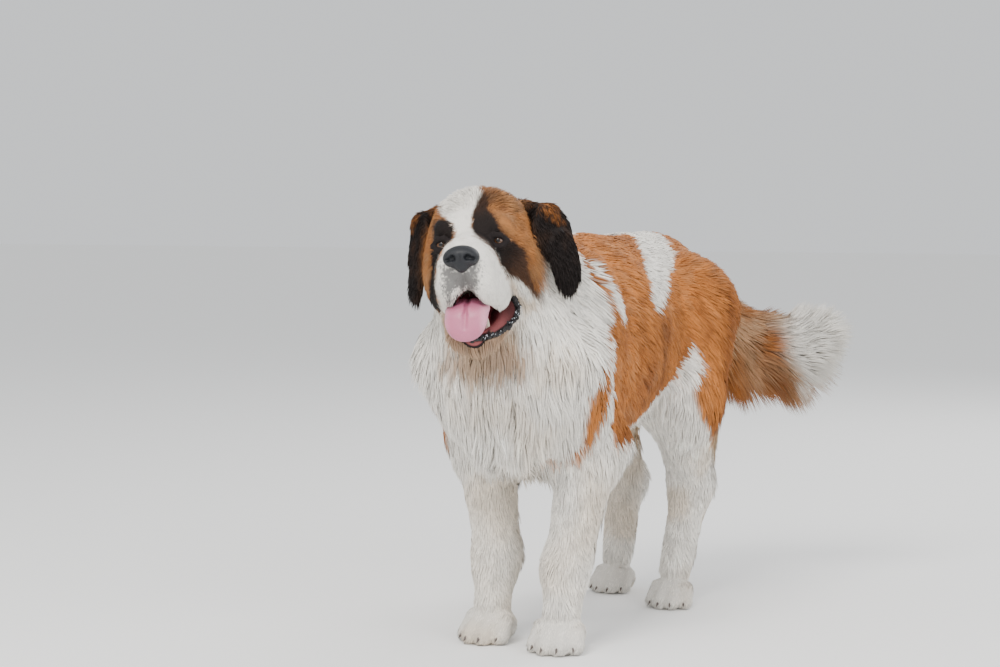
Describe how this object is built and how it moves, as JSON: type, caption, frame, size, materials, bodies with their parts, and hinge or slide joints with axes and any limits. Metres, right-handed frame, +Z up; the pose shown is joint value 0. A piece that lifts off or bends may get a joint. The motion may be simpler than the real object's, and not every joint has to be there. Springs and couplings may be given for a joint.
{
  "type": "life-size saint bernard dog model",
  "caption": "Standing long-haired Saint Bernard dog, white with orange-brown patches and dark ears, mouth open with the tongue out, tail swung to its left.",
  "frame": {"origin": "on the floor, under the middle of the whole dog's box", "axes": "+Z up; the dog faces -Y and its left side is +X"},
  "size_m": [0.5298, 1.3446, 0.8184],
  "materials": {
    "coat_white": "white hair",
    "coat_red": "orange-brown hair",
    "coat_dark": "black-brown hair",
    "nose": "moist black",
    "tongue": "moist pink",
    "eye": "gloss"
  },
  "bodies": {
    "root": {"torso": "coat_red", "neck": "coat_white", "head": "coat_red", "jaw": "coat_white", "tongue": "tongue", "nose": "nose", "eye_left": "eye", "eye_right": "eye", "ear_left": "coat_dark", "ear_right": "coat_dark", "foreleg_left": "coat_white", "foreleg_right": "coat_white", "paw_front_left": "coat_white", "paw_front_right": "coat_white", "thigh_left": "coat_red", "thigh_right": "coat_red", "hock_left": "coat_white", "hock_right": "coat_white", "paw_hind_left": "coat_white", "paw_hind_right": "coat_white", "tail": "coat_white"}
  },
  "joints": []
}
